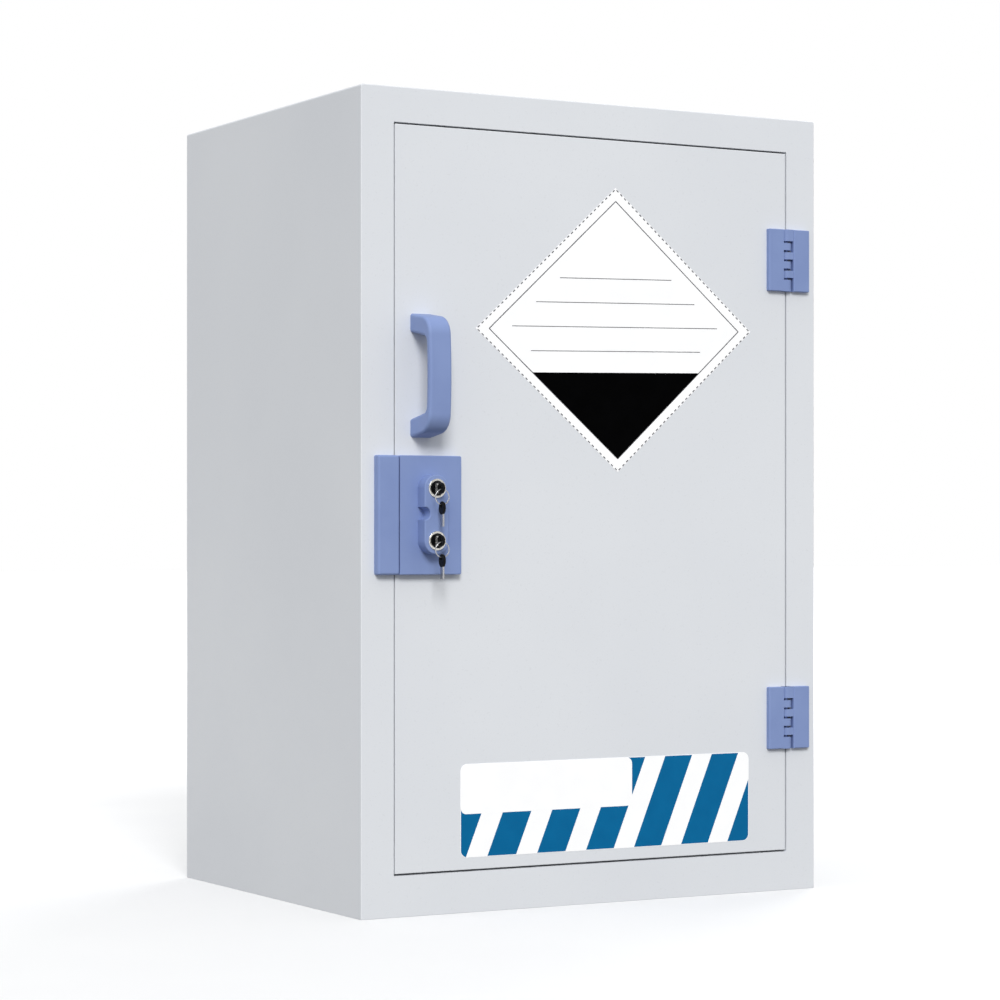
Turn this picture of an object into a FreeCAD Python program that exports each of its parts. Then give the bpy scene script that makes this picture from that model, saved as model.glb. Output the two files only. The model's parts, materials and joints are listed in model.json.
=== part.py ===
import FreeCAD, Part
import math
import os

# Single-door polypropylene cabinet for bottles of acid and alkali, in millimetres.
# Origin: centre of the footprint on the floor. +X is right, +Y is back, +Z is up.

V = FreeCAD.Vector

# Carcass, welded from polypropylene board
cabinet_width = 590.0
cabinet_depth = 460.0
cabinet_height = 890.0
board = 8.0
corner_radius = 2.5
front_edge_radius = 1.2
stile_width = 39.25
top_rail_height = 38.0
bottom_rail_height = 44.3
opening_corner_radius = 1.0

# Door, a hollow board sandwich that lies flush in the frame
door_side_gap = 1.5
door_end_gap = 2.0
door_skin = 8.0
door_core = 16.0
door_liner = 6.0
door_edge_radius = 0.8
door_edge_relief = 1.2
lock_strip_width = 76.0
hinge_strip_width = 34.0
end_strip_height = 24.0
rib_height = 24.0
rib_count = 2
stop_gap = 0.5
stop_board = 8.0
stop_overlap = 12.0

# Shelf, its ledges and the sump tray
ledge_height_shares = (0.337, 0.508, 0.679)
shelf_ledge_number = 1
ledge_reach = 22.0
ledge_drop = 26.0
ledge_board = 5.0
ledge_front_setback = 44.0
ledge_back_setback = 20.0
shelf_side_gap = 2.5
shelf_back_gap = 9.0
shelf_board = 5.0
shelf_lip = 38.0
sump_side_gap = 6.0
sump_board = 4.0
sump_wall_height = 58.0
tray_corner_radius = 8.0
tray_front_setback = 40.0

# Butt hinges, with their pin in the plane of the door face
upper_hinge_drop = 123.5
lower_hinge_rise = 152.9
hinge_height = 71.3
hinge_thickness = 6.0
door_leaf_reach = 26.9
frame_leaf_reach = 29.4
knuckle_gap = 2.4
narrow_knuckle = 8.2
knuckle_side_gap = 0.8
leaf_edge_radius = 1.5
leaf_end_radius = 1.0
leaf_groove_radius = 1.4
leaf_groove_depth = 0.6
hinge_pin_radius = 2.0
hinge_pin_recess = 1.0
running_clearance = 0.05
hinge_pocket_margin = 0.3
hinge_screw_spacing = 48.0

# Lock set: strike on the frame, housing with a raised boss on the door
lock_set_height_share = 0.4123
lower_core_margin = 36.4
upper_core_margin = 35.3
strike_width = 24.9
housing_width = 74.9
lock_plate_height = 10.0
lock_seam = 1.35
housing_inset = 1.05
lock_wall = 3.0
lock_edge_radius = 2.6
seam_edge_radius = 0.8
lock_corner_radius = 2.0
lock_axis_inset = 36.75
boss_radius = 14.5
boss_height = 26.0
boss_edge_radius = 1.2
notch_radius = 7.0
notch_rise = 1.0
cam_slot_margin = 2.0
cam_slot_depth = 1.2
screw_post_radius = 4.0
post_inset = 8.0
post_wall_bite = 0.8

# Cam lock: barrel, ring nut, plug and cam
bezel_radius = 10.3
bezel_height = 1.8
bezel_edge_radius = 0.6
barrel_radius = 9.0
barrel_hole_clearance = 0.05
barrel_length = 17.5
nut_radius = 11.0
nut_thickness = 3.0
nut_notch_width = 3.0
nut_notch_depth = 1.0
nut_notch_count = 4
plug_radius = 6.0
plug_face_radius = 8.1
plug_face_clearance = 0.1
plug_face_thickness = 0.9
plug_face_recess = 0.5
plug_overhang = 0.5
tail_radius = 3.5
tail_flat_width = 5.4
cam_hole_clearance = 0.1
cam_hub_radius = 7.0
cam_tip_radius = 5.5
cam_bite = 5.9
cam_tail_clearance = 6.7
cam_thickness = 1.8
upper_cam_level = 4.7
lower_cam_level = 1.9
cam_screw_head_radius = 3.3
cam_screw_head_thickness = 1.4
cam_screw_radius = 1.5
cam_screw_length = 5.0

# Keys and their split rings
key_blade_thickness = 2.0
key_blade_width = 5.4
key_blade_length = 12.6
key_blade_grip = 5.0
keyway_clearance = 0.1
bitting_count = 4
bitting_depth = 0.9
key_head_length = 14.2
key_head_height = 12.0
key_head_thickness = 2.8
key_head_edge_radius = 0.6
key_hole_radius = 2.2
key_hole_inset = 4.7
key_head_gap = 1.0
ring_radius = 8.2
ring_wire_radius = 0.6
ring_play = 0.35

# Pull handle, a bowed bridge on two feet that lean towards each other
handle_lock_gap = 19.4
handle_length = 133.2
handle_width = 27.0
handle_inset = 32.0
handle_reach = 45.0
handle_bow = 3.0
handle_lean = 6.2
handle_grip_thickness = 8.5
handle_foot_height = 20.2
handle_outer_radius = 22.0
handle_inner_radius = 8.5
handle_edge_radius = 3.2

# Countersunk screws
screw_radius = 1.75
screw_head_radius = 4.0
screw_head_depth = 2.5
screw_socket_width = 2.4
screw_socket_depth = 1.4
screw_hole_clearance = 0.2
screw_bore_clearance = 0.05
screw_bite = 4.5
handle_screw_bite = 14.0
bore_spare = 0.6
overrun = 1.0

# Planes and edges that several pieces share
front = -cabinet_depth / 2
back = cabinet_depth / 2
right = cabinet_width / 2
inner_right = right - board
inner_front = front + board
inner_back = back - board
ledge_heights = [cabinet_height * share for share in ledge_height_shares]
opening_right = right - stile_width
opening_bottom = bottom_rail_height
opening_top = cabinet_height - top_rail_height
door_right = opening_right - door_side_gap
door_bottom = opening_bottom + door_end_gap
door_top = opening_top - door_end_gap
skin_back = front + door_skin
core_back = skin_back + door_core
door_back = core_back + door_liner
stop_front = door_back + stop_gap
stop_back = stop_front + stop_board
hinge_x = opening_right - door_side_gap / 2
upper_hinge_height = door_top - upper_hinge_drop
lower_hinge_height = door_bottom + lower_hinge_rise
knuckle_radius = hinge_thickness
pocket_radius = knuckle_radius + knuckle_side_gap
wide_knuckle = (hinge_height - 5 * knuckle_gap - 4 * narrow_knuckle) / 2
housing_left = -door_right + housing_inset
housing_right = housing_left + housing_width
strike_right = housing_left - lock_seam
strike_left = strike_right - strike_width
lock_x = -door_right + lock_axis_inset
cam_reach = lock_x - strike_right + lock_wall + cam_bite
core_spacing = cam_reach + tail_radius + cam_tail_clearance
lock_set_bottom = cabinet_height * lock_set_height_share
lower_core_height = lock_set_bottom + lower_core_margin
upper_core_height = lower_core_height + core_spacing
lock_set_top = upper_core_height + upper_core_margin
boss_left = lock_x - boss_radius
boss_floor = boss_height - lock_wall
plate_floor = lock_plate_height - lock_wall
notch_height = (upper_core_height + lower_core_height) / 2 + notch_rise
bezel_front = boss_height + bezel_height
barrel_end = boss_height - barrel_length
plug_front = bezel_front - plug_face_recess
plug_back = barrel_end - plug_overhang
key_head_back = bezel_front + key_head_gap
key_hole_reach = key_head_back + key_head_length - key_hole_inset
ring_hang = key_hole_radius - ring_wire_radius - ring_play
handle_x = -door_right + handle_inset
handle_height = lock_set_top + handle_lock_gap + handle_length / 2
handle_screw_spacing = handle_length - handle_foot_height


# General forms

def block(x0, x1, y0, y1, z0, z1):
    return Part.makeBox(x1 - x0, y1 - y0, z1 - z0, V(x0, y0, z0))


def rod(radius, start, end):
    axis = end - start
    return Part.makeCylinder(radius, axis.Length, start, axis)


def cone(start_radius, end_radius, start, end):
    axis = end - start
    return Part.makeCone(start_radius, end_radius, axis.Length, start, axis)


def prism(points, direction):
    outline = Part.makePolygon(points + [points[0]])
    return Part.Face(outline).extrude(direction)


def out(reach):
    # Y of a plane that stands this far in front of the door face
    return front - reach


def front_block(x0, x1, low, high, z0, z1):
    return block(x0, x1, out(high), out(low), z0, z1)


def front_rod(radius, x, z, low, high):
    return rod(radius, V(x, out(low), z), V(x, out(high), z))


def edges_at(shape, test):
    return [edge for edge in shape.Edges if test(edge.BoundBox)]


def on_plane(low, high, place):
    return abs(low - place) < tiny and abs(high - place) < tiny


def rounded(shape, radius, test):
    return shape.makeFillet(radius, edges_at(shape, test))


tiny = board / 1000


# Carcass

def front_frame():
    sheet = block(-right, right, front, inner_front, 0, cabinet_height)
    window = block(-opening_right, opening_right, front - overrun, inner_front + overrun,
                   opening_bottom, opening_top)
    window = rounded(window, opening_corner_radius, lambda b: b.XLength < tiny and b.ZLength < tiny)
    sheet = rounded(sheet, corner_radius,
                    lambda b: b.XLength < tiny and on_plane(b.ZMin, b.ZMax, cabinet_height))
    sheet = rounded(sheet, front_edge_radius,
                    lambda b: on_plane(b.YMin, b.YMax, front) and b.ZMax > tiny)
    sheet = sheet.cut(window)
    for height in (upper_hinge_height, lower_hinge_height):
        sheet = sheet.cut(hinge_pocket(height))
        for z in hinge_screw_heights(height):
            sheet = sheet.cut(screw_seat(frame_hinge_screw_x, inner_front, z))
    for z in strike_screw_heights():
        sheet = sheet.cut(screw_seat(strike_screw_x, inner_front, z))
    return sheet


def side_panel(side):
    panel = block(inner_right, right, inner_front, inner_back, 0, cabinet_height)
    panel = rounded(panel, corner_radius,
                    lambda b: on_plane(b.XMin, b.XMax, right) and on_plane(b.ZMin, b.ZMax, cabinet_height))
    if side < 0:
        panel = panel.mirror(V(0, 0, 0), V(1, 0, 0))
    return panel


def top_panel():
    return block(-inner_right, inner_right, inner_front, inner_back,
                 cabinet_height - board, cabinet_height)


def base_panel():
    return block(-inner_right, inner_right, inner_front, inner_back, 0, board)


def back_panel():
    sheet = block(-right, right, inner_back, back, 0, cabinet_height)
    sheet = rounded(sheet, corner_radius,
                    lambda b: b.XLength < tiny and on_plane(b.ZMin, b.ZMax, cabinet_height))
    return rounded(sheet, front_edge_radius,
                   lambda b: on_plane(b.YMin, b.YMax, back) and b.ZMax > tiny)


def jamb_ring():
    # Lining of the door opening with the stop flange that the shut door nearly meets
    def band(grow, shrink, y0, y1):
        outer = block(-opening_right - grow, opening_right + grow, y0, y1,
                      opening_bottom - grow, opening_top + grow)
        inner = block(-opening_right + shrink, opening_right - shrink, y0 - overrun, y1 + overrun,
                      opening_bottom + shrink, opening_top - shrink)
        return outer.cut(inner)

    lining = band(stop_board, 0, inner_front, stop_back)
    flange = band(0, stop_overlap, stop_front, stop_back)
    return lining.fuse(flange).removeSplitter()


def jamb(side):
    # One mitred length of the ring
    grow = stop_board
    shrink = stop_overlap
    near = opening_right - shrink
    far = opening_right + grow
    low_near = opening_bottom + shrink
    low_far = opening_bottom - grow
    top_near = opening_top - shrink
    top_far = opening_top + grow
    corners = {
        "left": [(-far, low_far), (-near, low_near), (-near, top_near), (-far, top_far)],
        "right": [(far, low_far), (near, low_near), (near, top_near), (far, top_far)],
        "top": [(-far, top_far), (-near, top_near), (near, top_near), (far, top_far)],
        "bottom": [(-far, low_far), (-near, low_near), (near, low_near), (far, low_far)],
    }
    points = [V(x, inner_front, z) for x, z in corners[side]]
    return jamb_ring().common(prism(points, V(0, stop_back - inner_front, 0)))


# Shelf and trays

def shelf_ledges(side):
    y0 = inner_front + ledge_front_setback
    length = inner_back - ledge_back_setback - y0
    angles = []
    for height in ledge_heights:
        points = [
            V(inner_right, y0, height),
            V(inner_right - ledge_reach, y0, height),
            V(inner_right - ledge_reach, y0, height - ledge_board),
            V(inner_right - ledge_board, y0, height - ledge_board),
            V(inner_right - ledge_board, y0, height - ledge_drop),
            V(inner_right, y0, height - ledge_drop),
        ]
        angle = prism(points, V(0, length, 0))
        angle = rounded(angle, ledge_board,
                        lambda b: on_plane(b.XMin, b.XMax, inner_right - ledge_reach)
                        and b.XLength < tiny and b.YLength < tiny)
        if side < 0:
            angle = angle.mirror(V(0, 0, 0), V(1, 0, 0))
        angles.append(angle)
    return Part.makeCompound(angles)


def tray(half_width, y0, y1, z0, z1, wall):
    outer = block(-half_width, half_width, y0, y1, z0, z1)
    outer = rounded(outer, tray_corner_radius, lambda b: b.XLength < tiny and b.YLength < tiny)
    inner = block(-half_width + wall, half_width - wall, y0 + wall, y1 - wall, z0 + wall, z1 + overrun)
    inner = rounded(inner, tray_corner_radius - wall, lambda b: b.XLength < tiny and b.YLength < tiny)
    return outer.cut(inner)


def shelf_tray():
    seat = ledge_heights[shelf_ledge_number]
    y0 = inner_front + tray_front_setback
    return tray(inner_right - shelf_side_gap, y0, inner_back - shelf_back_gap,
                seat, seat + shelf_lip, shelf_board)


def sump_tray():
    y0 = inner_front + tray_front_setback
    return tray(inner_right - sump_side_gap, y0, inner_back - sump_side_gap,
                board, board + sump_wall_height, sump_board)


# Screws

def screw(x, y_head, z, length):
    # Countersunk screw with its head at the back and its point towards the front
    head = cone(screw_head_radius, screw_radius, V(x, y_head, z), V(x, y_head - screw_head_depth, z))
    shank = rod(screw_radius, V(x, y_head - screw_head_depth, z), V(x, y_head - length, z))
    return head.fuse(shank).removeSplitter().cut(hexagon(screw_socket_width, x, y_head, z))


def hexagon(width, x, y_head, z):
    # Socket for a hexagon key, with its flats this far apart
    radius = width / 2 / math.cos(math.pi / 6)
    angles = [number * math.pi / 3 for number in range(6)]
    y0 = y_head - screw_socket_depth
    points = [V(x + radius * math.cos(a), y0, z + radius * math.sin(a)) for a in angles]
    return prism(points, V(0, screw_socket_depth + overrun, 0))


def screw_seat(x, y_head, z):
    # Countersunk clearance hole through everything in front of the head
    wide = screw_head_radius + screw_hole_clearance
    narrow = screw_radius + screw_hole_clearance
    mouth = cone(wide, narrow, V(x, y_head, z), V(x, y_head - screw_head_depth, z))
    reach = y_head - front + overrun
    hole = rod(narrow, V(x, y_head, z), V(x, y_head - reach, z))
    return mouth.fuse(hole)


def clear_hole(x, z):
    # Plain hole through the door's core and skin
    return front_rod(screw_radius + screw_hole_clearance, x, z, -(core_back - front) - overrun, overrun)


def screw_group(places, y_head, bite):
    length = y_head - front + bite
    return Part.makeCompound([screw(x, y_head, z, length) for x, z in places])


def blind_bore(x, z, depth):
    return front_rod(screw_radius + screw_bore_clearance, x, z, -overrun, depth + bore_spare)


def hinge_screw_heights(height):
    return (height - hinge_screw_spacing / 2, height + hinge_screw_spacing / 2)


def strike_screw_heights():
    return (lock_set_bottom + post_inset, lock_set_top - post_inset)


frame_hinge_screw_x = hinge_x + (pocket_radius + frame_leaf_reach) / 2
door_hinge_screw_x = hinge_x - (pocket_radius + door_leaf_reach) / 2
strike_screw_x = strike_left + lock_wall + screw_post_radius - post_wall_bite
housing_screw_xs = (housing_left + post_inset, housing_right - post_inset)
hinge_heights = (upper_hinge_height, lower_hinge_height)

frame_hinge_places = [(frame_hinge_screw_x, z) for h in hinge_heights for z in hinge_screw_heights(h)]
door_hinge_places = [(door_hinge_screw_x, z) for h in hinge_heights for z in hinge_screw_heights(h)]
strike_places = [(strike_screw_x, z) for z in strike_screw_heights()]
housing_places = [(x, z) for x in housing_screw_xs for z in strike_screw_heights()]
handle_places = [(handle_x, handle_height + s * handle_screw_spacing / 2) for s in (-1, 1)]
door_places = door_hinge_places + housing_places + handle_places


# Door

def closing_edge(y):
    # The lock edge leans in towards the back, so that the door swings clear of the frame
    return -door_right + door_edge_relief * (y - front) / (door_back - front)


def door_slab(x1, y0, y1):
    points = [
        V(closing_edge(y0), y0, door_bottom),
        V(x1, y0, door_bottom),
        V(x1, y1, door_bottom),
        V(closing_edge(y1), y1, door_bottom),
    ]
    return prism(points, V(0, 0, door_top - door_bottom))


def door_outer_panel():
    panel = door_slab(door_right, front, skin_back)
    panel = rounded(panel, door_edge_radius, lambda b: on_plane(b.YMin, b.YMax, front))
    for height in hinge_heights:
        panel = panel.cut(hinge_pocket(height))
    for x, z in door_places:
        panel = panel.cut(clear_hole(x, z))
    return panel


def drilled(piece):
    bounds = piece.BoundBox
    for x, z in door_places:
        if bounds.XMin < x < bounds.XMax and bounds.ZMin < z < bounds.ZMax:
            piece = piece.cut(clear_hole(x, z))
    return piece


def core_piece(x0, x1, z0, z1):
    return drilled(block(x0, x1, skin_back, core_back, z0, z1))


core_left = -door_right + lock_strip_width
core_right = door_right - hinge_strip_width
core_bottom = door_bottom + end_strip_height
core_top = door_top - end_strip_height


def door_ribs():
    pitch = (core_top - core_bottom) / (rib_count + 1)
    ribs = []
    for number in range(1, rib_count + 1):
        middle = core_bottom + number * pitch
        ribs.append(core_piece(core_left, core_right, middle - rib_height / 2, middle + rib_height / 2))
    return Part.makeCompound(ribs)


def door_inner_panel():
    panel = door_slab(door_right, core_back, door_back)
    panel = rounded(panel, door_edge_radius, lambda b: on_plane(b.YMin, b.YMax, door_back))
    for x, z in door_places:
        panel = panel.cut(screw_seat(x, door_back, z))
    return panel


# Hinges

def hinge_pocket(height):
    # Hollow behind the barrel, cut into the door edge and the frame edge alike
    reach = hinge_height / 2 + hinge_pocket_margin
    return rod(pocket_radius, V(hinge_x, front, height - reach), V(hinge_x, front, height + reach))


def knuckle_spans(height, of_frame):
    # Bottom and top of each knuckle; the frame leaf has the top wide one, the door leaf the bottom one
    spans = []
    z = height + hinge_height / 2
    sizes = [wide_knuckle] + [narrow_knuckle] * 4 + [wide_knuckle]
    for number, size in enumerate(sizes):
        if (number % 2 == 0) == of_frame:
            spans.append((z - size, z))
        z = z - size - knuckle_gap
    return spans


def hinge_leaf(height, of_frame):
    side = 1 if of_frame else -1
    reach = frame_leaf_reach if of_frame else door_leaf_reach
    z0 = height - hinge_height / 2
    z1 = height + hinge_height / 2

    def across(start, end, low, high, bottom, top):
        xs = sorted((hinge_x + side * start, hinge_x + side * end))
        return front_block(xs[0], xs[1], low, high, bottom, top)

    plate = across(pocket_radius, reach, 0, hinge_thickness, z0, z1)
    plate = rounded(plate, leaf_edge_radius,
                    lambda b: on_plane(b.YMin, b.YMax, out(hinge_thickness))
                    and on_plane(b.XMin, b.XMax, hinge_x + side * reach))
    plate = rounded(plate, leaf_end_radius,
                    lambda b: on_plane(b.YMin, b.YMax, out(hinge_thickness)) and b.ZLength < tiny)
    leaf = plate
    for bottom, top in knuckle_spans(height, of_frame):
        web = across(0, pocket_radius + leaf_end_radius, 0, hinge_thickness, bottom, top)
        barrel = rod(knuckle_radius, V(hinge_x, front, bottom), V(hinge_x, front, top))
        leaf = leaf.fuse(web).fuse(barrel)
    leaf = leaf.removeSplitter()
    if of_frame:
        groove_x = hinge_x + pocket_radius + leaf_groove_radius / 2
        level = hinge_thickness - leaf_groove_depth + leaf_groove_radius
        leaf = leaf.cut(rod(leaf_groove_radius, V(groove_x, out(level), z0 - overrun),
                            V(groove_x, out(level), z1 + overrun)))
    bore = hinge_pin_radius if of_frame else hinge_pin_radius + running_clearance
    leaf = leaf.cut(rod(bore, V(hinge_x, front, z0 - overrun), V(hinge_x, front, z1 + overrun)))
    screw_x = frame_hinge_screw_x if of_frame else door_hinge_screw_x
    for z in hinge_screw_heights(height):
        leaf = leaf.cut(blind_bore(screw_x, z, screw_bite))
    return leaf


def hinge_pin(height):
    reach = hinge_height / 2 - hinge_pin_recess
    return rod(hinge_pin_radius, V(hinge_x, front, height - reach), V(hinge_x, front, height + reach))


# Pull handle

def pull_handle():
    foot_out = handle_length / 2
    foot_in = foot_out - handle_foot_height
    top_out = foot_out - handle_lean
    top_in = foot_in - handle_lean
    x0 = handle_x - handle_width / 2

    def at(reach, z):
        return V(x0, out(reach), handle_height + z)

    face_end = handle_reach - handle_bow
    grip_back = handle_reach - handle_grip_thickness
    grip_end = grip_back - handle_bow * (top_in / top_out) ** 2
    outline = [
        Part.makeLine(at(0, foot_out), at(face_end, top_out)),
        Part.Arc(at(face_end, top_out), at(handle_reach, 0), at(face_end, -top_out)).toShape(),
        Part.makeLine(at(face_end, -top_out), at(0, -foot_out)),
        Part.makeLine(at(0, -foot_out), at(0, -foot_in)),
        Part.makeLine(at(0, -foot_in), at(grip_end, -top_in)),
        Part.Arc(at(grip_end, -top_in), at(grip_back, 0), at(grip_end, top_in)).toShape(),
        Part.makeLine(at(grip_end, top_in), at(0, foot_in)),
        Part.makeLine(at(0, foot_in), at(0, foot_out)),
    ]
    bridge = Part.Face(Part.Wire(outline)).extrude(V(handle_width, 0, 0))
    bridge = rounded(bridge, handle_outer_radius,
                     lambda b: b.XLength > tiny and on_plane(b.YMin, b.YMax, out(face_end)))
    bridge = rounded(bridge, handle_inner_radius,
                     lambda b: b.XLength > tiny and on_plane(b.YMin, b.YMax, out(grip_end)))
    bridge = rounded(bridge, handle_edge_radius,
                     lambda b: b.XLength < tiny and b.YMin < front - tiny)
    for x, z in handle_places:
        bridge = bridge.cut(blind_bore(x, z, handle_screw_bite))
    return bridge


# Lock housing and strike

def lock_plate(x0, x1, seam_x):
    # Moulded plate with soft outer edges and a crisp edge along the seam
    plate = front_block(x0, x1, 0, lock_plate_height, lock_set_bottom, lock_set_top)
    far_x = x0 if seam_x == x1 else x1
    plate = rounded(plate, lock_corner_radius, lambda b: b.YLength > tiny and on_plane(b.XMin, b.XMax, far_x))
    face = out(lock_plate_height)
    plate = rounded(plate, seam_edge_radius,
                    lambda b: on_plane(b.YMin, b.YMax, face) and on_plane(b.XMin, b.XMax, seam_x))
    soft = [edge for edge in plate.Edges
            if on_plane(edge.BoundBox.YMin, edge.BoundBox.YMax, face)
            and not on_plane(edge.BoundBox.XMin, edge.BoundBox.XMax, edge_inside(seam_x, far_x))]
    return plate.makeFillet(lock_edge_radius if far_x == x0 else lock_corner_radius - seam_edge_radius, soft)


def edge_inside(seam_x, far_x):
    return seam_x + math.copysign(seam_edge_radius, far_x - seam_x)


def cam_slot(x0, x1):
    # Window that both cams swing through, in the walls that face each other across the seam
    reach = cam_tip_radius + cam_slot_margin
    return front_block(x0 - overrun, x1 + overrun, cam_slot_depth, plate_floor,
                       lower_core_height - reach, upper_core_height + reach)


def screw_posts(places):
    posts = []
    for x, z in places:
        post = front_rod(screw_post_radius, x, z, 0, plate_floor + seam_edge_radius)
        posts.append(post)
    return posts


def strike_housing():
    shell = lock_plate(strike_left, strike_right, strike_right)
    hollow = front_block(strike_left + lock_wall, strike_right - lock_wall, -overrun, plate_floor,
                         lock_set_bottom + lock_wall, lock_set_top - lock_wall)
    shell = shell.cut(hollow)
    for post in screw_posts(strike_places):
        shell = shell.fuse(post)
    shell = shell.removeSplitter().cut(cam_slot(strike_right - lock_wall, strike_right))
    for x, z in strike_places:
        shell = shell.cut(blind_bore(x, z, screw_bite))
    return shell


def boss_form(radius, low, high):
    # Stadium prism about both lock axes
    ends = [front_rod(radius, lock_x, z, low, high) for z in (lower_core_height, upper_core_height)]
    middle = front_block(lock_x - radius, lock_x + radius, low, high, lower_core_height, upper_core_height)
    return middle.fuse(ends).removeSplitter()


def lock_housing():
    shell = lock_plate(housing_left, housing_right, housing_left)
    boss = boss_form(boss_radius, plate_floor, boss_height)
    boss = boss.cut(front_rod(notch_radius, boss_left, notch_height, lock_plate_height, boss_height + overrun))
    boss = rounded(boss, boss_edge_radius, lambda b: on_plane(b.YMin, b.YMax, out(boss_height)))
    shell = shell.fuse(boss).removeSplitter()
    hollow = front_block(housing_left + lock_wall, housing_right - lock_wall, -overrun, plate_floor,
                         lock_set_bottom + lock_wall, lock_set_top - lock_wall)
    boss_hollow = boss_form(boss_radius - lock_wall, 0, boss_floor)
    notch_wall = front_rod(notch_radius + lock_wall, boss_left, notch_height, plate_floor, boss_height)
    shell = shell.cut(hollow).cut(boss_hollow.cut(notch_wall))
    for post in screw_posts(housing_places):
        shell = shell.fuse(post)
    shell = shell.removeSplitter().cut(cam_slot(housing_left, housing_left + lock_wall))
    for x, z in housing_places:
        shell = shell.cut(blind_bore(x, z, screw_bite))
    for z in (lower_core_height, upper_core_height):
        hole_radius = barrel_radius + barrel_hole_clearance
        shell = shell.cut(front_rod(hole_radius, lock_x, z, 0, boss_height + overrun))
    return shell


# Cam locks

def lock_barrel(z):
    body = front_rod(barrel_radius, lock_x, z, barrel_end, boss_height)
    bezel = front_rod(bezel_radius, lock_x, z, boss_height, bezel_front)
    bezel = rounded(bezel, bezel_edge_radius, lambda b: on_plane(b.YMin, b.YMax, out(bezel_front)))
    bore = front_rod(plug_radius + running_clearance, lock_x, z, barrel_end - overrun, bezel_front)
    face_back = plug_front - plug_face_thickness - plug_face_clearance
    recess = front_rod(plug_face_radius + plug_face_clearance, lock_x, z, face_back, bezel_front + overrun)
    return body.fuse(bezel).removeSplitter().cut(bore).cut(recess)


def ring_nut(z):
    nut = front_rod(nut_radius, lock_x, z, boss_floor - nut_thickness, boss_floor)
    nut = nut.cut(front_rod(barrel_radius, lock_x, z, barrel_end, boss_height))
    for number in range(nut_notch_count):
        notch = front_block(lock_x + nut_radius - nut_notch_depth, lock_x + nut_radius + overrun,
                            boss_floor - nut_thickness - overrun, boss_floor + overrun,
                            z - nut_notch_width / 2, z + nut_notch_width / 2)
        notch.rotate(V(lock_x, 0, z), V(0, 1, 0), number * 360 / nut_notch_count)
        nut = nut.cut(notch)
    return nut


def tail_form(z, low, high, clearance):
    # Round tail with two flats
    flat = tail_flat_width / 2 + clearance
    radius = tail_radius + clearance
    return front_rod(radius, lock_x, z, low, high).common(
        front_block(lock_x - flat, lock_x + flat, low, high, z - radius, z + radius))


def lock_plug(z, cam_level):
    body = front_rod(plug_radius, lock_x, z, plug_back, plug_front)
    face = front_rod(plug_face_radius, lock_x, z, plug_front - plug_face_thickness, plug_front)
    tail = tail_form(z, cam_level, plug_back, 0)
    plug = body.fuse(face).fuse(tail).removeSplitter()
    half_slot = key_blade_thickness / 2 + keyway_clearance
    half_width = key_blade_width / 2 + keyway_clearance
    keyway = front_block(lock_x - half_slot, lock_x + half_slot,
                         key_tip_level - keyway_clearance, plug_front + overrun,
                         z - half_width, z + half_width)
    screw_bore = front_rod(cam_screw_radius, lock_x, z, cam_level - overrun,
                           cam_level + cam_screw_length)
    return plug.cut(keyway).cut(screw_bore)


key_tip_level = key_head_back - key_blade_length


def lock_cam(z, cam_level, turn):
    # Flat cam that points towards the other lock while unlocked; turn is +1 up or -1 down
    top = cam_level + cam_thickness
    tip = z + turn * (cam_reach - cam_tip_radius)
    hub = front_rod(cam_hub_radius, lock_x, z, cam_level, top)
    nose = front_rod(cam_tip_radius, lock_x, tip, cam_level, top)
    arm = front_block(lock_x - cam_tip_radius, lock_x + cam_tip_radius, cam_level, top,
                      min(z, tip), max(z, tip))
    cam = arm.fuse([hub, nose]).removeSplitter()
    return cam.cut(tail_form(z, cam_level - overrun, top + overrun, cam_hole_clearance))


def cam_screw(z, cam_level):
    head = front_rod(cam_screw_head_radius, lock_x, z, cam_level - cam_screw_head_thickness, cam_level)
    head = rounded(head, bezel_edge_radius,
                   lambda b: on_plane(b.YMin, b.YMax, out(cam_level - cam_screw_head_thickness)))
    shank = front_rod(cam_screw_radius, lock_x, z, cam_level, cam_level + cam_screw_length)
    return head.fuse(shank).removeSplitter()


# Keys: the local frame has the bow hole at zero and the blade along +Y

def key_blade_form():
    start = key_head_length - key_hole_inset - key_blade_grip
    end = key_head_length - key_hole_inset + key_blade_length
    half_t = key_blade_thickness / 2
    half_w = key_blade_width / 2
    blade = block(-half_t, half_t, start, end, -half_w, half_w)
    pitch = (key_blade_length - key_blade_width) / bitting_count
    for number in range(bitting_count):
        y = end - (number + 1) * pitch
        points = [
            V(-half_t - overrun, y - bitting_depth, half_w),
            V(-half_t - overrun, y, half_w - bitting_depth),
            V(-half_t - overrun, y + bitting_depth, half_w),
        ]
        blade = blade.cut(prism(points, V(key_blade_thickness + 2 * overrun, 0, 0)))
    return blade


def key_head_form():
    half_t = key_head_thickness / 2
    middle = key_head_length / 2 - key_hole_inset
    oval = Part.Ellipse(V(0, 0, 0), key_head_length / 2, key_head_height / 2)
    head = Part.Face(Part.Wire(oval.toShape())).extrude(V(0, 0, key_head_thickness))
    head.translate(V(0, 0, -half_t))
    head = head.makeFillet(key_head_edge_radius, edges_at(head, lambda b: b.ZLength < tiny))
    head.rotate(V(0, 0, 0), V(0, 0, 1), 90)
    head.rotate(V(0, 0, 0), V(0, 1, 0), 90)
    head.translate(V(0, middle, 0))
    head = head.cut(rod(key_hole_radius, V(-half_t - overrun, 0, 0), V(half_t + overrun, 0, 0)))
    return head.cut(key_blade_form())


def inserted(shape, z):
    shape.translate(V(lock_x, out(key_hole_reach), z))
    return shape


def hanging(shape, z):
    shape.rotate(V(0, 0, 0), V(1, 0, 0), -90)
    shape.translate(V(lock_x, out(key_hole_reach), z))
    return shape


def ring_top(z):
    return z - ring_hang


def ring_bottom(z):
    return ring_top(z) - 2 * ring_radius


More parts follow.
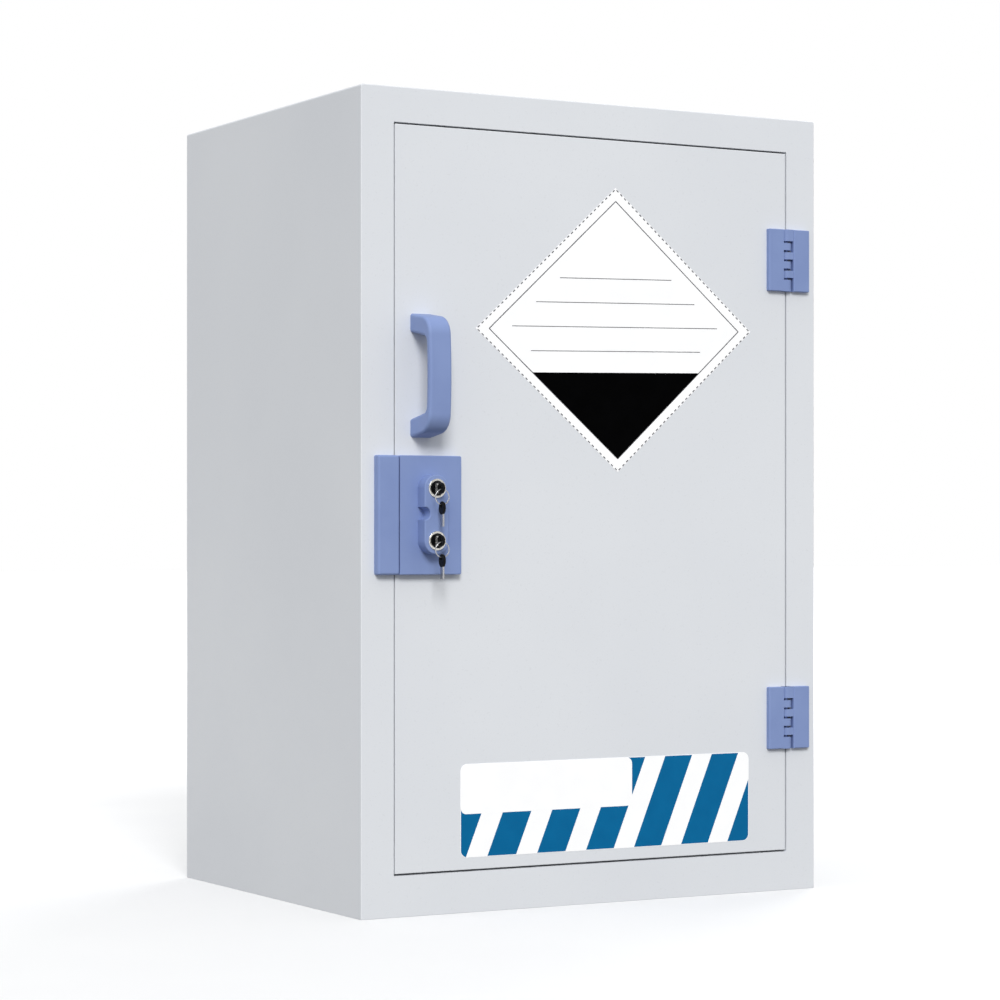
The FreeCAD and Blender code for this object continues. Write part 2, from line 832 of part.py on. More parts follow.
def key_ring(z):
    middle = V(lock_x, out(key_hole_reach), ring_top(z) - ring_radius)
    return Part.makeTorus(ring_radius, ring_wire_radius, middle, V(0, 1, 0))


def spare_hole_height(z):
    return ring_bottom(z) - ring_hang


def lock_nodes(name, z, cam_level, turn):
    return {
        name + "_lock_barrel": lock_barrel(z),
        name + "_ring_nut": ring_nut(z),
        name + "_lock_plug": lock_plug(z, cam_level),
        name + "_cam": lock_cam(z, cam_level, turn),
        name + "_cam_screw": cam_screw(z, cam_level),
        name + "_key_blade": inserted(key_blade_form(), z),
        name + "_key_head": inserted(key_head_form(), z),
        name + "_key_ring": key_ring(z),
        name + "_spare_key_blade": hanging(key_blade_form(), spare_hole_height(z)),
        name + "_spare_key_head": hanging(key_head_form(), spare_hole_height(z)),
    }


def all_nodes():
    nodes = {
        "front_frame": front_frame(),
        "side_panel_left": side_panel(-1),
        "side_panel_right": side_panel(1),
        "top_panel": top_panel(),
        "base_panel": base_panel(),
        "back_panel": back_panel(),
        "shelf_ledges_left": shelf_ledges(-1),
        "shelf_ledges_right": shelf_ledges(1),
        "shelf_tray": shelf_tray(),
        "sump_tray": sump_tray(),
        "strike_housing": strike_housing(),
        "strike_screws": screw_group(strike_places, inner_front, screw_bite),
        "frame_hinge_screws": screw_group(frame_hinge_places, inner_front, screw_bite),
        "door_outer_panel": door_outer_panel(),
        "door_lock_strip": drilled(door_slab(core_left, skin_back, core_back)),
        "door_hinge_strip": core_piece(core_right, door_right, door_bottom, door_top),
        "door_top_strip": core_piece(core_left, core_right, core_top, door_top),
        "door_bottom_strip": core_piece(core_left, core_right, door_bottom, core_bottom),
        "door_ribs": door_ribs(),
        "door_inner_panel": door_inner_panel(),
        "door_hinge_screws": screw_group(door_hinge_places, door_back, screw_bite),
        "pull_handle": pull_handle(),
        "handle_screws": screw_group(handle_places, door_back, handle_screw_bite),
        "lock_housing": lock_housing(),
        "lock_housing_screws": screw_group(housing_places, door_back, screw_bite),
    }
    for side in ("left", "right", "top", "bottom"):
        nodes["jamb_" + side] = jamb(side)
    for name, height in (("upper", upper_hinge_height), ("lower", lower_hinge_height)):
        nodes[name + "_hinge_frame_leaf"] = hinge_leaf(height, True)
        nodes[name + "_hinge_door_leaf"] = hinge_leaf(height, False)
        nodes[name + "_hinge_pin"] = hinge_pin(height)
    nodes.update(lock_nodes("upper", upper_core_height, upper_cam_level, -1))
    nodes.update(lock_nodes("lower", lower_core_height, lower_cam_level, 1))
    return nodes


os.makedirs("parts", exist_ok=True)
for node, shape in all_nodes().items():
    shape.exportStep("parts/" + node + ".step")
    print(node, len(shape.Solids), shape.isValid(), round(shape.Volume))
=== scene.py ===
import json
import math

import bmesh
import bpy
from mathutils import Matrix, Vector


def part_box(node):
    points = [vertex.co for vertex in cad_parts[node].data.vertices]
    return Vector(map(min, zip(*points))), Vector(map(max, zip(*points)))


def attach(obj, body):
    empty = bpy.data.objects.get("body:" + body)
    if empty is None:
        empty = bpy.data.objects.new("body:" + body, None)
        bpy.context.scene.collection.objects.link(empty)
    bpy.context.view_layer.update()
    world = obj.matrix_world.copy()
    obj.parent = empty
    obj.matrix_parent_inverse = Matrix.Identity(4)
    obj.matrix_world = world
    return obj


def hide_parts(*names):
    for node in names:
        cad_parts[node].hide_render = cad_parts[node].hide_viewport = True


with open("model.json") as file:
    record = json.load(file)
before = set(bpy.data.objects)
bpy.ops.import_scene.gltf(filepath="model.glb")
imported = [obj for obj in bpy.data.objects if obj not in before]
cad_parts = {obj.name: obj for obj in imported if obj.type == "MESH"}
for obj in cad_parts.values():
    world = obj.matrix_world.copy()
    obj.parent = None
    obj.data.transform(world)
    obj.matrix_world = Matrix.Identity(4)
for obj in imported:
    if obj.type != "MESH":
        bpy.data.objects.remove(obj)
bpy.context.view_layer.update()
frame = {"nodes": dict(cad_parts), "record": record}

MM = 0.001
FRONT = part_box("door_outer_panel")[0].y
LOCKS = ("upper", "lower")

# Stretches of a noise texture's output that are widened to a mask
NARROW = (0.35, 0.65)
WIDE = (0.3, 0.7)


# Shader nodes

def new_look(name):
    look = bpy.data.materials.new(name)
    look.use_nodes = True
    tree = look.node_tree
    tree.nodes.clear()
    output = tree.nodes.new("ShaderNodeOutputMaterial")
    shader = tree.nodes.new("ShaderNodeBsdfPrincipled")
    tree.links.new(shader.outputs["BSDF"], output.inputs["Surface"])
    return look, tree, shader


def place_in(tree, scale=(1, 1, 1), shift=(0, 0, 0)):
    where = tree.nodes.new("ShaderNodeTexCoord")
    mapping = tree.nodes.new("ShaderNodeMapping")
    mapping.inputs["Scale"].default_value = scale
    mapping.inputs["Location"].default_value = shift
    tree.links.new(where.outputs["Object"], mapping.inputs["Vector"])
    return mapping.outputs["Vector"]


def distance_of(tree, vector):
    node = tree.nodes.new("ShaderNodeVectorMath")
    node.operation = "LENGTH"
    tree.links.new(vector, node.inputs[0])
    return node.outputs["Value"]


def grain(tree, scale, detail=2.0, stretch=(1, 1, 1), roughness=0.5):
    node = tree.nodes.new("ShaderNodeTexNoise")
    node.inputs["Scale"].default_value = scale
    node.inputs["Detail"].default_value = detail
    node.inputs["Roughness"].default_value = roughness
    tree.links.new(place_in(tree, stretch), node.inputs["Vector"])
    return node.outputs["Fac"]


def lathe_rings(tree, centre, scale, detail):
    # Noise by the distance from an axis along Y through the centre, given as x and z
    node = tree.nodes.new("ShaderNodeTexNoise")
    node.noise_dimensions = "1D"
    node.inputs["Scale"].default_value = scale
    node.inputs["Detail"].default_value = detail
    flat = place_in(tree, scale=(1, 0, 1), shift=(-centre[0], 0, -centre[1]))
    tree.links.new(distance_of(tree, flat), node.inputs["W"])
    return node.outputs["Fac"]


def span(tree, value, source, target=(0, 1)):
    node = tree.nodes.new("ShaderNodeMapRange")
    ends = (("From Min", source[0]), ("From Max", source[1]), ("To Min", target[0]), ("To Max", target[1]))
    for key, number in ends:
        node.inputs[key].default_value = number
    tree.links.new(value, node.inputs["Value"])
    return node.outputs["Result"]


def added(tree, first, second):
    node = tree.nodes.new("ShaderNodeMath")
    node.operation = "ADD"
    tree.links.new(first, node.inputs[0])
    tree.links.new(second, node.inputs[1])
    return node.outputs["Value"]


def scaled(tree, value, factor):
    node = tree.nodes.new("ShaderNodeMath")
    node.operation = "MULTIPLY"
    tree.links.new(value, node.inputs[0])
    node.inputs[1].default_value = factor
    return node.outputs["Value"]


def blend_of(tree, share, first, second):
    # The second colour where the share is 1; a colour is a tuple or the output of a node
    node = tree.nodes.new("ShaderNodeMix")
    node.data_type = "RGBA"
    sockets = {socket.identifier: socket for socket in node.inputs}
    for key, value in (("A_Color", first), ("B_Color", second)):
        if isinstance(value, tuple):
            sockets[key].default_value = (*value, 1)
        else:
            tree.links.new(value, sockets[key])
    tree.links.new(share, sockets["Factor_Float"])
    return next(socket for socket in node.outputs if socket.identifier == "Result_Color")


def surface(tree, shader, colour, roughness, height, strength, distance):
    # Strength and distance are those of the bump that the height gives
    bump = tree.nodes.new("ShaderNodeBump")
    bump.inputs["Strength"].default_value = strength
    bump.inputs["Distance"].default_value = distance
    tree.links.new(height, bump.inputs["Height"])
    tree.links.new(bump.outputs["Normal"], shader.inputs["Normal"])
    tree.links.new(colour, shader.inputs["Base Color"])
    tree.links.new(roughness, shader.inputs["Roughness"])


# Materials

def board_look(name, pale, dark):
    # Extruded polypropylene sheet: satin and cloudy, with flecks, faint rubs and a leathery skin
    fleck_shade = 0.8
    fleck_share = 0.18
    waviness = 5.0
    look, tree, shader = new_look(name)
    clouds = span(tree, grain(tree, scale=3.2, detail=3), NARROW)
    flecks = span(tree, grain(tree, scale=420, detail=1), (0.66, 0.74))
    tone = blend_of(tree, clouds, pale, dark)
    colour = blend_of(tree, scaled(tree, flecks, fleck_share), tone, tuple(c * fleck_shade for c in dark))
    rubs = grain(tree, scale=60, detail=4, stretch=(0.12, 1, 1.6), roughness=0.62)
    waves = scaled(tree, grain(tree, scale=9, detail=1), waviness)
    skin = added(tree, grain(tree, scale=1150), waves)
    roughness = span(tree, rubs, WIDE, (0.36, 0.52))
    surface(tree, shader, colour, roughness, skin, strength=0.22, distance=0.00012)
    shader.inputs["Specular IOR Level"].default_value = 0.25
    return look


def moulding_look(name, pale, dark, gloss, shine):
    # Injection-moulded plastic with a spark-eroded grain
    look, tree, shader = new_look(name)
    colour = blend_of(tree, span(tree, grain(tree, scale=24, detail=3), (0.32, 0.68)), pale, dark)
    rubs = grain(tree, scale=180, detail=5, stretch=(1, 1, 0.25), roughness=0.6)
    roughness = span(tree, rubs, WIDE, (gloss, gloss + 0.14))
    skin = added(tree, grain(tree, scale=2100), grain(tree, scale=700))
    surface(tree, shader, colour, roughness, skin, strength=0.25, distance=0.0001)
    shader.inputs["Specular IOR Level"].default_value = shine
    return look


def worn_metal(tree, shader, wear, pale, dark, gloss, spread):
    colour = blend_of(tree, span(tree, wear, NARROW), pale, dark)
    roughness = span(tree, wear, WIDE, (gloss, gloss + spread))
    surface(tree, shader, colour, roughness, wear, strength=0.3, distance=0.00004)
    shader.inputs["Metallic"].default_value = 1.0


def turned_look(name, pale, dark, centre, gloss):
    # Metal turned on a lathe about an axis along Y: fine rings, with light scratches over them
    look, tree, shader = new_look(name)
    rings = lathe_rings(tree, centre, scale=4200, detail=2)
    scratches = grain(tree, scale=900, detail=4, stretch=(1, 1, 0.2), roughness=0.7)
    wear = added(tree, scaled(tree, rings, 0.6), scaled(tree, scratches, 0.4))
    worn_metal(tree, shader, wear, pale, dark, gloss, spread=0.16)
    return look


def brushed_look(name, pale, dark, stretch, gloss):
    # Rolled and plated steel, brushed along the axes where the stretch is small
    look, tree, shader = new_look(name)
    lines = grain(tree, scale=1500, detail=3, stretch=stretch, roughness=0.65)
    spots = grain(tree, scale=160, detail=3)
    wear = added(tree, scaled(tree, lines, 0.7), scaled(tree, spots, 0.3))
    worn_metal(tree, shader, wear, pale, dark, gloss, spread=0.18)
    return look


def print_look(name, pale, dark, gloss, shine, glow=0.0):
    # Ink or bare vinyl with a slight orange peel; white vinyl is given a little glow, a painted light that
    # makes it brighter than the lamps light it
    look, tree, shader = new_look(name)
    colour = blend_of(tree, span(tree, grain(tree, scale=45, detail=4), NARROW), pale, dark)
    roughness = span(tree, grain(tree, scale=260, detail=3), NARROW, (gloss, gloss + 0.1))
    surface(tree, shader, colour, roughness, grain(tree, scale=520), strength=0.12, distance=0.00006)
    shader.inputs["Specular IOR Level"].default_value = shine
    shader.inputs["Emission Color"].default_value = (1, 1, 1, 1)
    # Painted light: this emission makes the surface glow though it is no lamp
    shader.inputs["Emission Strength"].default_value = glow
    return look


def lock_centre(name):
    low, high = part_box(name + "_lock_barrel")
    return ((low.x + high.x) / 2, (low.z + high.z) / 2)


lock_centres = {name: lock_centre(name) for name in LOCKS}

white_board = board_look("white_board", (0.775, 0.795, 0.825), (0.745, 0.766, 0.800))
tray_board = board_look("tray_board", (0.780, 0.800, 0.828), (0.742, 0.763, 0.796))

blue_moulding = moulding_look("blue_moulding", (0.238, 0.316, 0.570), (0.218, 0.292, 0.540),
                              gloss=0.40, shine=0.2)
black_moulding = moulding_look("black_key_head", (0.006, 0.006, 0.0065), (0.0035, 0.0035, 0.004),
                               gloss=0.28, shine=0.1)

plated_steel = brushed_look("plated_steel", (0.78, 0.77, 0.74), (0.60, 0.59, 0.57),
                            stretch=(1, 0.08, 0.08), gloss=0.16)
ring_steel = brushed_look("ring_steel", (0.56, 0.56, 0.56), (0.42, 0.42, 0.42),
                          stretch=(1, 1, 1), gloss=0.18)
blade_steel = brushed_look("blade_steel", (0.50, 0.50, 0.51), (0.36, 0.36, 0.37),
                           stretch=(1, 1, 0.08), gloss=0.20)
screw_steel = brushed_look("screw_steel", (0.66, 0.66, 0.67), (0.50, 0.50, 0.51),
                           stretch=(1, 1, 0.1), gloss=0.24)

# White vinyl with a painted glow: a little emission lifts it above what the lamps give
label_white = print_look("label_white", (0.93, 0.93, 0.932), (0.905, 0.905, 0.908),
                         gloss=0.30, shine=0.06, glow=0.15)
label_blue = print_look("label_blue", (0.0026, 0.143, 0.337), (0.0022, 0.131, 0.315),
                        gloss=0.28, shine=0.06)
label_black = print_look("label_black", (0.0012, 0.0012, 0.0014), (0.0007, 0.0007, 0.0008),
                         gloss=0.26, shine=0.01)
label_grey = print_look("label_grey", (0.16, 0.16, 0.17), (0.12, 0.12, 0.13),
                        gloss=0.34, shine=0.06)

barrel_looks = {name: turned_look(name + "_barrel_chrome", (0.80, 0.78, 0.73), (0.62, 0.60, 0.55),
                                  centre, gloss=0.14)
                for name, centre in lock_centres.items()}
plug_looks = {name: turned_look(name + "_plug_dark", (0.035, 0.035, 0.038), (0.012, 0.012, 0.013),
                                centre, gloss=0.22)
              for name, centre in lock_centres.items()}

slot_looks = {
    "white_board": white_board,
    "blue_moulding": blue_moulding,
    "plated_steel": plated_steel,
    "stainless_steel": screw_steel,
    "black_key_head": black_moulding,
}


def look_of(node, slot):
    side = node.split("_")[0]
    if slot == "chrome_lock":
        return barrel_looks[side]
    if slot == "dark_plug":
        return plug_looks[side]
    if node.endswith("_blade"):
        return blade_steel
    if node in ("shelf_tray", "sump_tray"):
        return tray_board
    return slot_looks[slot]


for entry in frame["record"]["subparts"]:
    materials = frame["nodes"][entry["node"]].data.materials
    materials.clear()
    materials.append(look_of(entry["node"], entry["material_slot"]))


# Meshes

def object_of(name, mesh, looks):
    data = bpy.data.meshes.new(name)
    mesh.to_mesh(data)
    mesh.free()
    for look in looks:
        data.materials.append(look)
    thing = bpy.data.objects.new(name, data)
    bpy.context.scene.collection.objects.link(thing)
    return thing


def piece_of(name, mesh, looks, body):
    piece = object_of(name, mesh, looks)
    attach(piece, body)
    return piece


def band(mesh, one, two):
    # Faces between two closed loops that have the same number of corners
    count = len(one)
    faces = []
    for i in range(count):
        j = (i + 1) % count
        faces.append(mesh.faces.new((one[i], one[j], two[j], two[i])))
    return faces


def tube(mesh, loops):
    # Closed body through a row of loops, with smooth sides; returns the faces of its two ends
    sides = [face for one, two in zip(loops, loops[1:]) for face in band(mesh, one, two)]
    ends = [mesh.faces.new(list(reversed(loops[0]))), mesh.faces.new(loops[-1])]
    for face in sides:
        face.smooth = True
    bmesh.ops.recalc_face_normals(mesh, faces=sides + ends)
    return ends


def sheet_on_door(mesh, outline, low, high, look):
    # Closed prism on the door from an outline of x and z; all in millimetres, the heights from its face
    bottom, top = ([mesh.verts.new((x * MM, FRONT - height * MM, z * MM)) for x, z in outline]
                   for height in (low, high))
    faces = [mesh.faces.new(top), mesh.faces.new(list(reversed(bottom)))]
    faces += band(mesh, bottom, top)
    for face in faces:
        face.material_index = look
    bmesh.ops.recalc_face_normals(mesh, faces=faces)


def rounded_outline(x0, x1, z0, z1, radii, steps=8):
    # Radii run from the lower left corner, anticlockwise
    corners = ((x0, z0, 180), (x1, z0, 270), (x1, z1, 0), (x0, z1, 90))
    points = []
    for (x, z, start), radius in zip(corners, radii):
        cx = x + radius if x == x0 else x - radius
        cz = z + radius if z == z0 else z - radius
        for step in range(steps + 1):
            angle = math.radians(start + 90 * step / steps)
            points.append((cx + radius * math.cos(angle), cz + radius * math.sin(angle)))
    return points


def clipped(outline, point, normal):
    # The part of a convex outline on the side that the normal points to
    kept = []
    for a, b in zip(outline, outline[1:] + outline[:1]):
        da = (a[0] - point[0]) * normal[0] + (a[1] - point[1]) * normal[1]
        db = (b[0] - point[0]) * normal[0] + (b[1] - point[1]) * normal[1]
        if da >= 0:
            kept.append(a)
        if (da > 0 > db) or (da < 0 < db):
            t = da / (da - db)
            kept.append((a[0] + t * (b[0] - a[0]), a[1] + t * (b[1] - a[1])))
    return kept


# Both labels: thickness of the film and of the ink on it, in millimetres

FILM = 0.20
INK = 0.03


def print_on(mesh, outline, look, coats=1):
    sheet_on_door(mesh, outline, FILM - INK, FILM + coats * INK, look)


# Striped label along the foot of the door, with its white panel bare, in millimetres

STRIPE_X = (-174.3, 202.9)
STRIPE_Z = (59.6, 161.0)
STRIPE_CORNER = 8
STRIPE_INSET = 0.5
STRIPE_PITCH = 62.9
STRIPE_WIDTH = 36.2
STRIPE_START = 33.2
STRIPE_LEAN = 42.0
STRIPE_NUMBERS = range(-1, 6)
PANEL_INSET = 0.2
PANEL_WIDTH = 219.5
PANEL_HEIGHT = 54.3
PANEL_CORNERS = (7, 7, 7, 7.8)


def stripe_label():
    white, blue = 0, 1
    left, right = STRIPE_X
    bottom, top = STRIPE_Z
    mesh = bmesh.new()
    sheet = rounded_outline(left, right, bottom, top, (STRIPE_CORNER,) * 4)
    sheet_on_door(mesh, sheet, 0.0, FILM, white)
    across = (top - bottom, -STRIPE_LEAN)
    back = (bottom - top, STRIPE_LEAN)
    inside = rounded_outline(left + STRIPE_INSET, right - STRIPE_INSET,
                             bottom + STRIPE_INSET, top - STRIPE_INSET,
                             (STRIPE_CORNER - STRIPE_INSET,) * 4)
    for number in STRIPE_NUMBERS:
        start = left + STRIPE_START + number * STRIPE_PITCH
        stripe = clipped(inside, (start, bottom), across)
        stripe = clipped(stripe, (start + STRIPE_WIDTH, bottom), back)
        if len(stripe) > 2:
            print_on(mesh, stripe, blue)
    panel = rounded_outline(left + PANEL_INSET, left + PANEL_WIDTH,
                            top - PANEL_HEIGHT, top - PANEL_INSET, PANEL_CORNERS)
    print_on(mesh, panel, white, coats=2)
    piece_of("stripe_label", mesh, (label_white, label_blue), "door")


stripe_label()


# Blank label to write on, stuck on its corner: a keyline, a dashed edge, ruled lines and a dark foot.
# Widths are in millimetres; places on the label run from -1 to 1 between opposite corners.

LABEL_CENTRE = (24.9, 638.4)
LABEL_HALF = (180.6, 158.6)
LABEL_TILT = math.radians(1.3)
TILT_OF_SIDES = 0.4
KEYLINE_REACH = 0.906
KEYLINE_WIDTH = 1.2
DASHES = 36
DASH_SPAN = (0.25, 0.75)
DASH_REACH = 0.992
DASH_WIDTH = 1.3
FOOT_TOP = -0.30
RULES = (0.36, 0.19, 0.02, -0.15)
RULE_MARGIN = 0.14
RULE_WIDTH = 0.9


def on_label(u, v):
    x = u * LABEL_HALF[0]
    z = v * LABEL_HALF[1]
    c, s = math.cos(LABEL_TILT), math.sin(LABEL_TILT)
    return (LABEL_CENTRE[0] + x * c - z * s * TILT_OF_SIDES, LABEL_CENTRE[1] + x * s + z * c)


def bar_on_label(mesh, start, end, width, look):
    a = Vector(on_label(*start))
    b = Vector(on_label(*end))
    along = (b - a).normalized()
    side = Vector((-along.y, along.x)) * width / 2
    print_on(mesh, [tuple(p) for p in (a + side, a - side, b - side, b + side)], look)


def on_side(a, b, share, reach):
    # Place on the side from corner a to corner b, of a square that reaches less far than the label
    return (reach * (a[0] + (b[0] - a[0]) * share), reach * (a[1] + (b[1] - a[1]) * share))


def write_on_label():
    white, black, grey = 0, 1, 2
    corners = ((0, -1), (1, 0), (0, 1), (-1, 0))
    mesh = bmesh.new()
    sheet_on_door(mesh, [on_label(u, v) for u, v in corners], 0.0, FILM, white)
    for a, b in zip(corners, corners[1:] + corners[:1]):
        bar_on_label(mesh, on_side(a, b, 0, KEYLINE_REACH), on_side(a, b, 1, KEYLINE_REACH),
                     KEYLINE_WIDTH, grey)
        for number in range(DASHES):
            start, end = (on_side(a, b, (number + part) / DASHES, DASH_REACH) for part in DASH_SPAN)
            bar_on_label(mesh, start, end, DASH_WIDTH, grey)
    reach = KEYLINE_REACH + FOOT_TOP
    foot = [on_label(0, -KEYLINE_REACH), on_label(reach, FOOT_TOP), on_label(-reach, FOOT_TOP)]
    print_on(mesh, foot, black)
    for v in RULES:
        reach = KEYLINE_REACH - abs(v) - RULE_MARGIN
        bar_on_label(mesh, (-reach, v), (reach, v), RULE_WIDTH, grey)
    piece_of("write_on_label", mesh, (label_white, label_black, label_grey), "door")


write_on_label()


# Rippled weld beads along the inner seams of the carcass

LEFT, RIGHT = Vector((-1, 0, 0)), Vector((1, 0, 0))
FORWARD, BACKWARD = Vector((0, -1, 0)), Vector((0, 1, 0))
DOWN, UP = Vector((0, 0, -1)), Vector((0, 0, 1))

BEAD_SIZE = 2.6 * MM
BEAD_STEP = 3.0 * MM
BEAD_SIDES = 5
LONG_RIPPLE = (0.06, 0.73)
SHORT_RIPPLE = (0.10, 2.1)
BEAD_HOLLOW = 0.20


def ripple(kind, number):
    # A kind of ripple has its share of the bead's size and its angle for each step
    return kind[0] * math.sin(number * kind[1])


def bead(mesh, start, end, first, second):
    # Bead in the corner between two walls; first and second point away from the walls
    along = end - start
    steps = max(2, int(along.length / BEAD_STEP))
    loops = []
    for number in range(steps + 1):
        corner = start + along * (number / steps)
        size = BEAD_SIZE * (1 + ripple(SHORT_RIPPLE, number) + ripple(LONG_RIPPLE, number))
        loop = [mesh.verts.new(corner)]
        for side in range(BEAD_SIDES + 1):
            angle = math.pi / 2 * side / BEAD_SIDES
            swell = size * (1 - BEAD_HOLLOW + BEAD_HOLLOW * abs(math.cos(2 * angle)))
            out = first * swell * math.cos(angle) + second * swell * math.sin(angle)
            loop.append(mesh.verts.new(corner + out))
        loops.append(loop)
    for face in tube(mesh, loops):
        face.smooth = True


def carcass_weld_beads():
    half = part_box("side_panel_right")[0].x
    inside_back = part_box("back_panel")[0].y
    inside_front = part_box("front_frame")[1].y
    floor_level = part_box("base_panel")[1].z
    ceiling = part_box("top_panel")[0].z
    depths = ((inside_back, FORWARD), (inside_front, BACKWARD))
    heights = ((floor_level, UP), (ceiling, DOWN))
    mesh = bmesh.new()
    for x, away in ((-half, RIGHT), (half, LEFT)):
        for y, off in depths:
            bead(mesh, Vector((x, y, floor_level)), Vector((x, y, ceiling)), away, off)
        for z, off in heights:
            bead(mesh, Vector((x, inside_front, z)), Vector((x, inside_back, z)), away, off)
    for z, off in heights:
        for y, away in depths:
            bead(mesh, Vector((-half, y, z)), Vector((half, y, z)), away, off)
    piece_of("carcass_weld_beads", mesh, (tray_board,), "cabinet")


carcass_weld_beads()


# Nickel escutcheon round each keyway, pressed on the plug's face, in millimetres.
# Its outside and its hole each have a half width, a half height and a corner radius.

TRIM_OUTSIDE = (2.7, 4.9, 1.6)
TRIM_HOLE = (1.25, 2.95, 0.4)
TRIM_LIFT = 0.28
TRIM_CORNER_STEPS = 5


def keyway_trim(name):
    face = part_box(name + "_lock_plug")[0].y
    x, z = lock_centres[name]
    mesh = bmesh.new()
    loops = []
    for half_x, half_z, radius in (TRIM_OUTSIDE, TRIM_HOLE):
        outline = rounded_outline(-half_x, half_x, -half_z, half_z, (radius,) * 4, TRIM_CORNER_STEPS)
        for lift in (0, TRIM_LIFT):
            loops.append([mesh.verts.new((x + u * MM, face - lift * MM, z + w * MM)) for u, w in outline])
    outer_low, outer_high, inner_low, inner_high = loops
    circuit = (outer_low, outer_high, inner_high, inner_low, outer_low)
    faces = [side for one, two in zip(circuit, circuit[1:]) for side in band(mesh, one, two)]
    bmesh.ops.recalc_face_normals(mesh, faces=faces)
    piece_of(name + "_keyway_trim", mesh, (plated_steel,), name + "_lock_core")


for name in LOCKS:
    keyway_trim(name)


# Split rings: two flat turns of wire with a crossing, in the space of the plain rings

RING_TURNS = 2
RING_STEPS = 128
RING_START = 0.15 * math.pi
WIRE_SIDES = 8
# Shares of the wire's space that it fills along the ring's axis and away from it
WIRE_FILL = (0.92, 0.80)
# The turn at which the wire starts to step from the front turn to the back turn, and how far it takes
CROSSING_START = 0.92
CROSSING_LENGTH = 0.16


def split_ring(name):
    node = name + "_key_ring"
    low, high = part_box(node)
    centre = (low + high) / 2
    wire = (high.y - low.y) / 2
    radius = (high.x - low.x) / 2 - wire
    half_wide = wire / 2 * WIRE_FILL[0]
    half_tall = wire * WIRE_FILL[1]
    mesh = bmesh.new()
    loops = []
    for number in range(RING_STEPS + 1):
        turn = number / RING_STEPS * RING_TURNS
        angle = 2 * math.pi * turn - RING_START
        crossed = max(0.0, min(1.0, (turn - CROSSING_START) / CROSSING_LENGTH))
        eased = crossed * crossed * (3 - 2 * crossed)
        y = centre.y + wire / 2 * (2 * eased - 1)
        out = Vector((math.cos(angle), 0, math.sin(angle)))
        spine = Vector((centre.x, y, centre.z)) + out * radius
        loop = []
        for side in range(WIRE_SIDES):
            around = 2 * math.pi * (side + 0.5) / WIRE_SIDES
            tall = out * half_tall * math.cos(around)
            wide = BACKWARD * half_wide * math.sin(around)
            loop.append(mesh.verts.new(spine + tall + wide))
        loops.append(loop)
    tube(mesh, loops)
    ring = piece_of(name + "_split_ring", mesh, (ring_steel,), name + "_ring")
    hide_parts(node)


for name in LOCKS:
    split_ring(name)


# Smooth shading of the curved faces, with the sharp edges kept

SHARP_EDGE = math.radians(28)

for node in frame["nodes"].values():
    if not node.hide_render:
        for face in node.data.polygons:
            face.use_smooth = True
        node.data.set_sharp_from_angle(angle=SHARP_EDGE)


# Pale floor that brightens away from the cabinet, in metres

FLOOR_SIZE = 30
FLOOR_SQUARES = 40
FLOOR_DROP = 0.0002
FLOOR_PALE = (0.90, 0.90, 0.90)
FLOOR_DARK = (0.88, 0.88, 0.885)
GLOW_REACH = (1.2, 5.0)
GLOW = (0.0, 0.6)


def floor_look():
    look, tree, shader = new_look("floor")
    colour = blend_of(tree, span(tree, grain(tree, scale=2, detail=3), NARROW), FLOOR_PALE, FLOOR_DARK)
    glow = span(tree, distance_of(tree, place_in(tree)), GLOW_REACH, GLOW)
    tree.links.new(colour, shader.inputs["Base Color"])
    tree.links.new(glow, shader.inputs["Emission Strength"])
    shader.inputs["Emission Color"].default_value = (1, 1, 1, 1)
    shader.inputs["Roughness"].default_value = 0.7
    shader.inputs["Specular IOR Level"].default_value = 0.2
    return look


mesh = bmesh.new()
bmesh.ops.create_grid(mesh, x_segments=FLOOR_SQUARES, y_segments=FLOOR_SQUARES, size=FLOOR_SIZE)
floor = object_of("floor", mesh, (floor_look(),))
floor.location = (0, 0, -FLOOR_DROP)
floor.visible_diffuse = False


# World: a white backdrop for the camera, and a softer light from above for everything else

AMBIENT = (0.98, 0.99, 1, 1)
AMBIENT_HEIGHT = (-0.5, 0.6)
AMBIENT_STRENGTH = (0.14, 0.80)


def background(tree, colour):
    node = tree.nodes.new("ShaderNodeBackground")
    node.inputs["Color"].default_value = colour
    return node


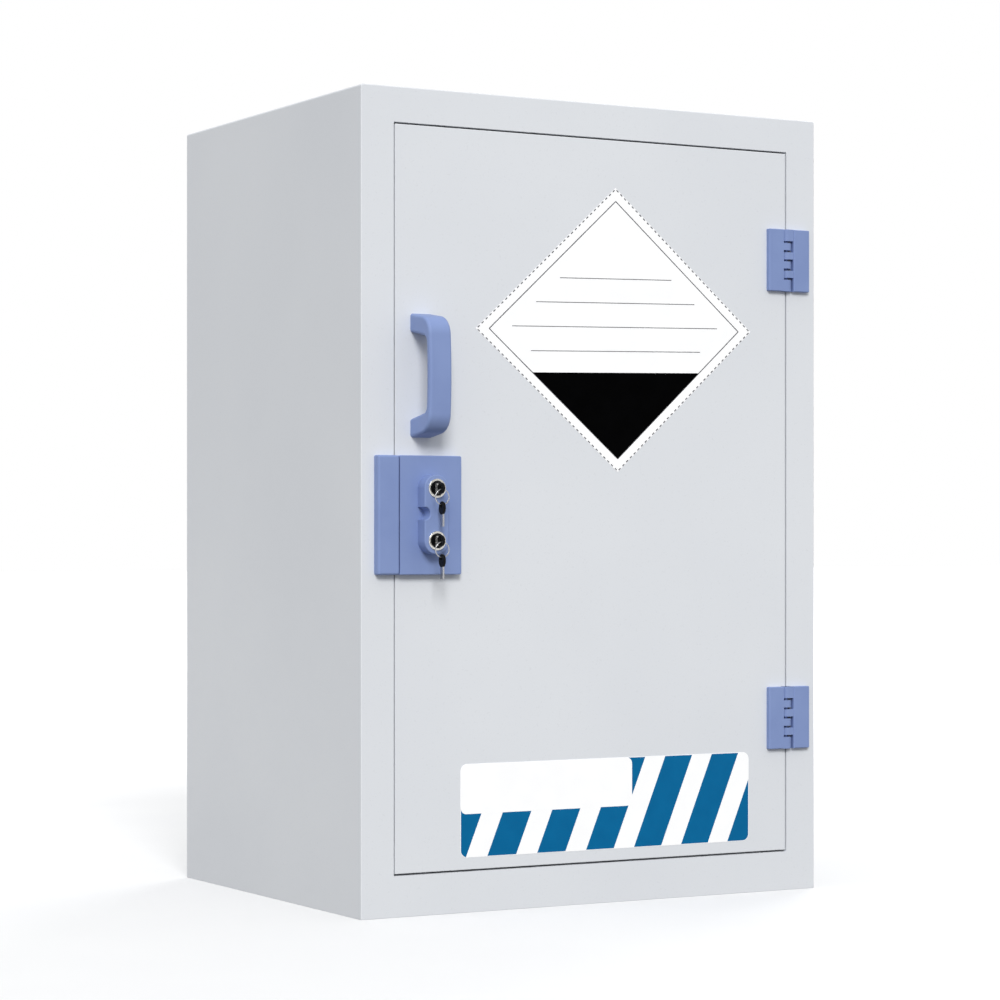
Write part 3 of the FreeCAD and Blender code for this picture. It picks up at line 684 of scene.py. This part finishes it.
def studio_world():
    world = bpy.data.worlds.new("studio")
    world.use_nodes = True
    tree = world.node_tree
    tree.nodes.clear()
    output = tree.nodes.new("ShaderNodeOutputWorld")
    backdrop = background(tree, (1, 1, 1, 1))
    ambient = background(tree, AMBIENT)
    where = tree.nodes.new("ShaderNodeTexCoord")
    split = tree.nodes.new("ShaderNodeSeparateXYZ")
    tree.links.new(where.outputs["Generated"], split.inputs["Vector"])
    strength = span(tree, split.outputs["Z"], AMBIENT_HEIGHT, AMBIENT_STRENGTH)
    tree.links.new(strength, ambient.inputs["Strength"])
    choice = tree.nodes.new("ShaderNodeMixShader")
    path = tree.nodes.new("ShaderNodeLightPath")
    tree.links.new(path.outputs["Is Camera Ray"], choice.inputs["Fac"])
    tree.links.new(ambient.outputs["Background"], choice.inputs[1])
    tree.links.new(backdrop.outputs["Background"], choice.inputs[2])
    tree.links.new(choice.outputs["Shader"], output.inputs["Surface"])
    bpy.context.scene.world = world


studio_world()


# Soft square lights, all aimed at the middle of the cabinet: place and size in metres, power in watts

LIGHT_TARGET = Vector((0, 0, 0.45))
LIGHTS = (
    ("key", (-12.8, -28.8, 20.0), 12.0, 8750),
    ("side", (-8.0, 0.5, 5.0), 4.0, 60),
    ("rear", (7.0, 6.0, 5.0), 4.0, 220),
)


def soft_light(name, place, size, power):
    light = bpy.data.lights.new(name, "AREA")
    light.shape = "RECTANGLE"
    light.size = size
    light.size_y = size
    light.energy = power
    lamp = bpy.data.objects.new(name, light)
    lamp.location = place
    lamp.rotation_euler = (LIGHT_TARGET - Vector(place)).to_track_quat("-Z", "Y").to_euler()
    bpy.context.scene.collection.objects.link(lamp)


for name, place, size, power in LIGHTS:
    soft_light(name, place, size, power)


# Camera at the photograph's place and angle, worked out from its vanishing points

CAMERA_PLACE = (-1.72673, -3.04164, 0.40648)
CAMERA_YAW = math.radians(-29.67)
CAMERA_SHIFT = 0.03785
CAMERA_REACH = 200
LENS_MM = 106.69
SENSOR_MM = 36.0

camera_data = bpy.data.cameras.new("camera")
camera_data.sensor_width = SENSOR_MM
camera_data.lens = LENS_MM
camera_data.shift_y = CAMERA_SHIFT
camera_data.clip_end = CAMERA_REACH
camera = bpy.data.objects.new("camera", camera_data)
camera.location = CAMERA_PLACE
camera.rotation_euler = (math.pi / 2, 0, CAMERA_YAW)
bpy.context.scene.collection.objects.link(camera)
bpy.context.scene.camera = camera
bpy.context.scene.view_settings.view_transform = "Standard"
